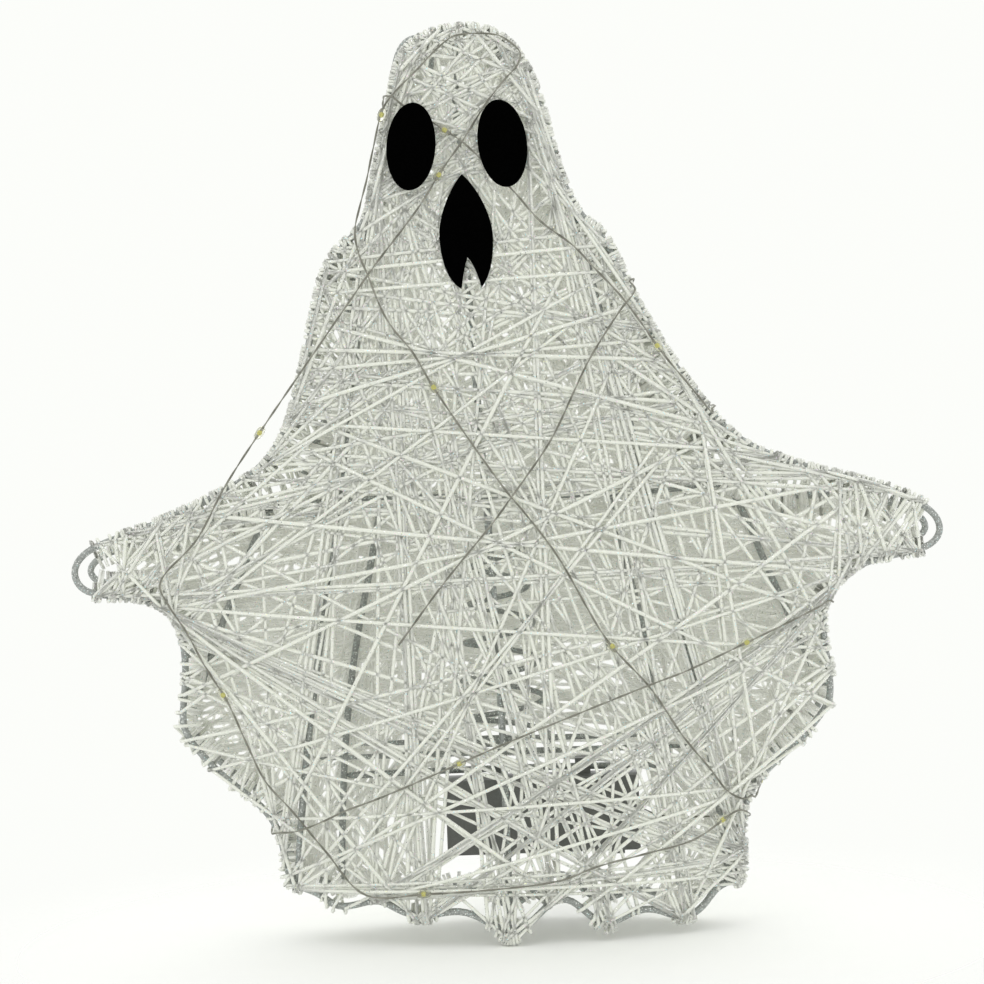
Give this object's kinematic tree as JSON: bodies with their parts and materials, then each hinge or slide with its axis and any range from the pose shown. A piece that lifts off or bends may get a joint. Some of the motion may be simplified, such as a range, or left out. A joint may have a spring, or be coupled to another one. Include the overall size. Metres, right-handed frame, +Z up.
{
  "type": "wire ghost tree topper",
  "caption": "Ghost-shaped tree topper of glittered wire wound with off-white yarn, with a micro light wire, a black face and a battery box behind the hem.",
  "frame": {"origin": "Where the tree's tip enters: the middle of the hem, half way between the front and back outlines", "axes": "+Z up along the ghost, +X to the right seen from the front, -Y towards the front, which carries the face"},
  "size_m": [0.2848, 0.0652, 0.294],
  "materials": {
    "glitter_wire": "silver-grey wire coated with fine glitter",
    "glitter_yarn": "off-white yarn with iridescent glitter",
    "light_wire": "fine lacquered light wire",
    "light_drop": "clear yellowish resin drop",
    "black_face": "flat black sheet",
    "black_housing": "fine moulded texture",
    "contact_steel": "plated spring steel",
    "cell_jacket": "plain printed jacket, bare",
    "circuit_board": "green solder mask"
  },
  "bodies": {
    "ghost": {"front_outline_wire": "glitter_wire", "back_outline_wire": "glitter_wire", "front_centre_rib": "glitter_wire", "left_front_rib": "glitter_wire", "right_front_rib": "glitter_wire", "chest_brace": "glitter_wire", "left_back_rib": "glitter_wire", "right_back_rib": "glitter_wire", "left_corner_rib": "glitter_wire", "right_corner_rib": "glitter_wire", "crown_loop": "glitter_wire", "battery_brace": "glitter_wire", "crown_spacer": "glitter_wire", "head_left_spacer": "glitter_wire", "neck_left_spacer": "glitter_wire", "neck_right_spacer": "glitter_wire", "arm_left_spacer": "glitter_wire", "arm_right_spacer": "glitter_wire", "corner_left_spacer": "glitter_wire", "corner_right_spacer": "glitter_wire", "hem_left_spacer": "glitter_wire", "hem_right_spacer": "glitter_wire", "front_coil_bar": "glitter_wire", "back_coil_bar": "glitter_wire", "tree_coil": "glitter_wire", "front_yarn_web": "glitter_yarn", "back_yarn_web": "glitter_yarn", "left_shoulder_winding": "glitter_yarn", "right_shoulder_winding": "glitter_yarn", "light_wire": "light_wire", "light_drop_1": "light_drop", "light_drop_2": "light_drop", "light_drop_3": "light_drop", "light_drop_4": "light_drop", "light_drop_5": "light_drop", "light_drop_6": "light_drop", "light_drop_7": "light_drop", "light_drop_8": "light_drop", "light_drop_9": "light_drop", "light_drop_10": "light_drop", "light_drop_11": "light_drop", "light_drop_12": "light_drop", "light_drop_13": "light_drop", "light_drop_14": "light_drop", "light_drop_15": "light_drop", "light_drop_16": "light_drop", "light_drop_17": "light_drop", "left_eye": "black_face", "right_eye": "black_face", "mouth": "black_face", "battery_case": "black_housing", "lower_contact_spring": "contact_steel", "lower_contact_plate": "contact_steel", "upper_contact_spring": "contact_steel", "upper_contact_plate": "contact_steel", "lower_cell": "cell_jacket", "upper_cell": "cell_jacket", "circuit_board": "circuit_board"},
    "battery_cover_lid": {"battery_cover": "black_housing"},
    "switch_knob": {"switch_slider": "black_housing"}
  },
  "joints": [
    {"name": "battery_cover_slide", "type": "slide", "parent": "ghost", "child": "battery_cover_lid", "axis": [1, 0, 0], "range_m": [0, 0.06]},
    {"name": "switch_slide", "type": "slide", "parent": "ghost", "child": "switch_knob", "axis": [1, 0, 0], "range_m": [0, 0.003]}
  ]
}
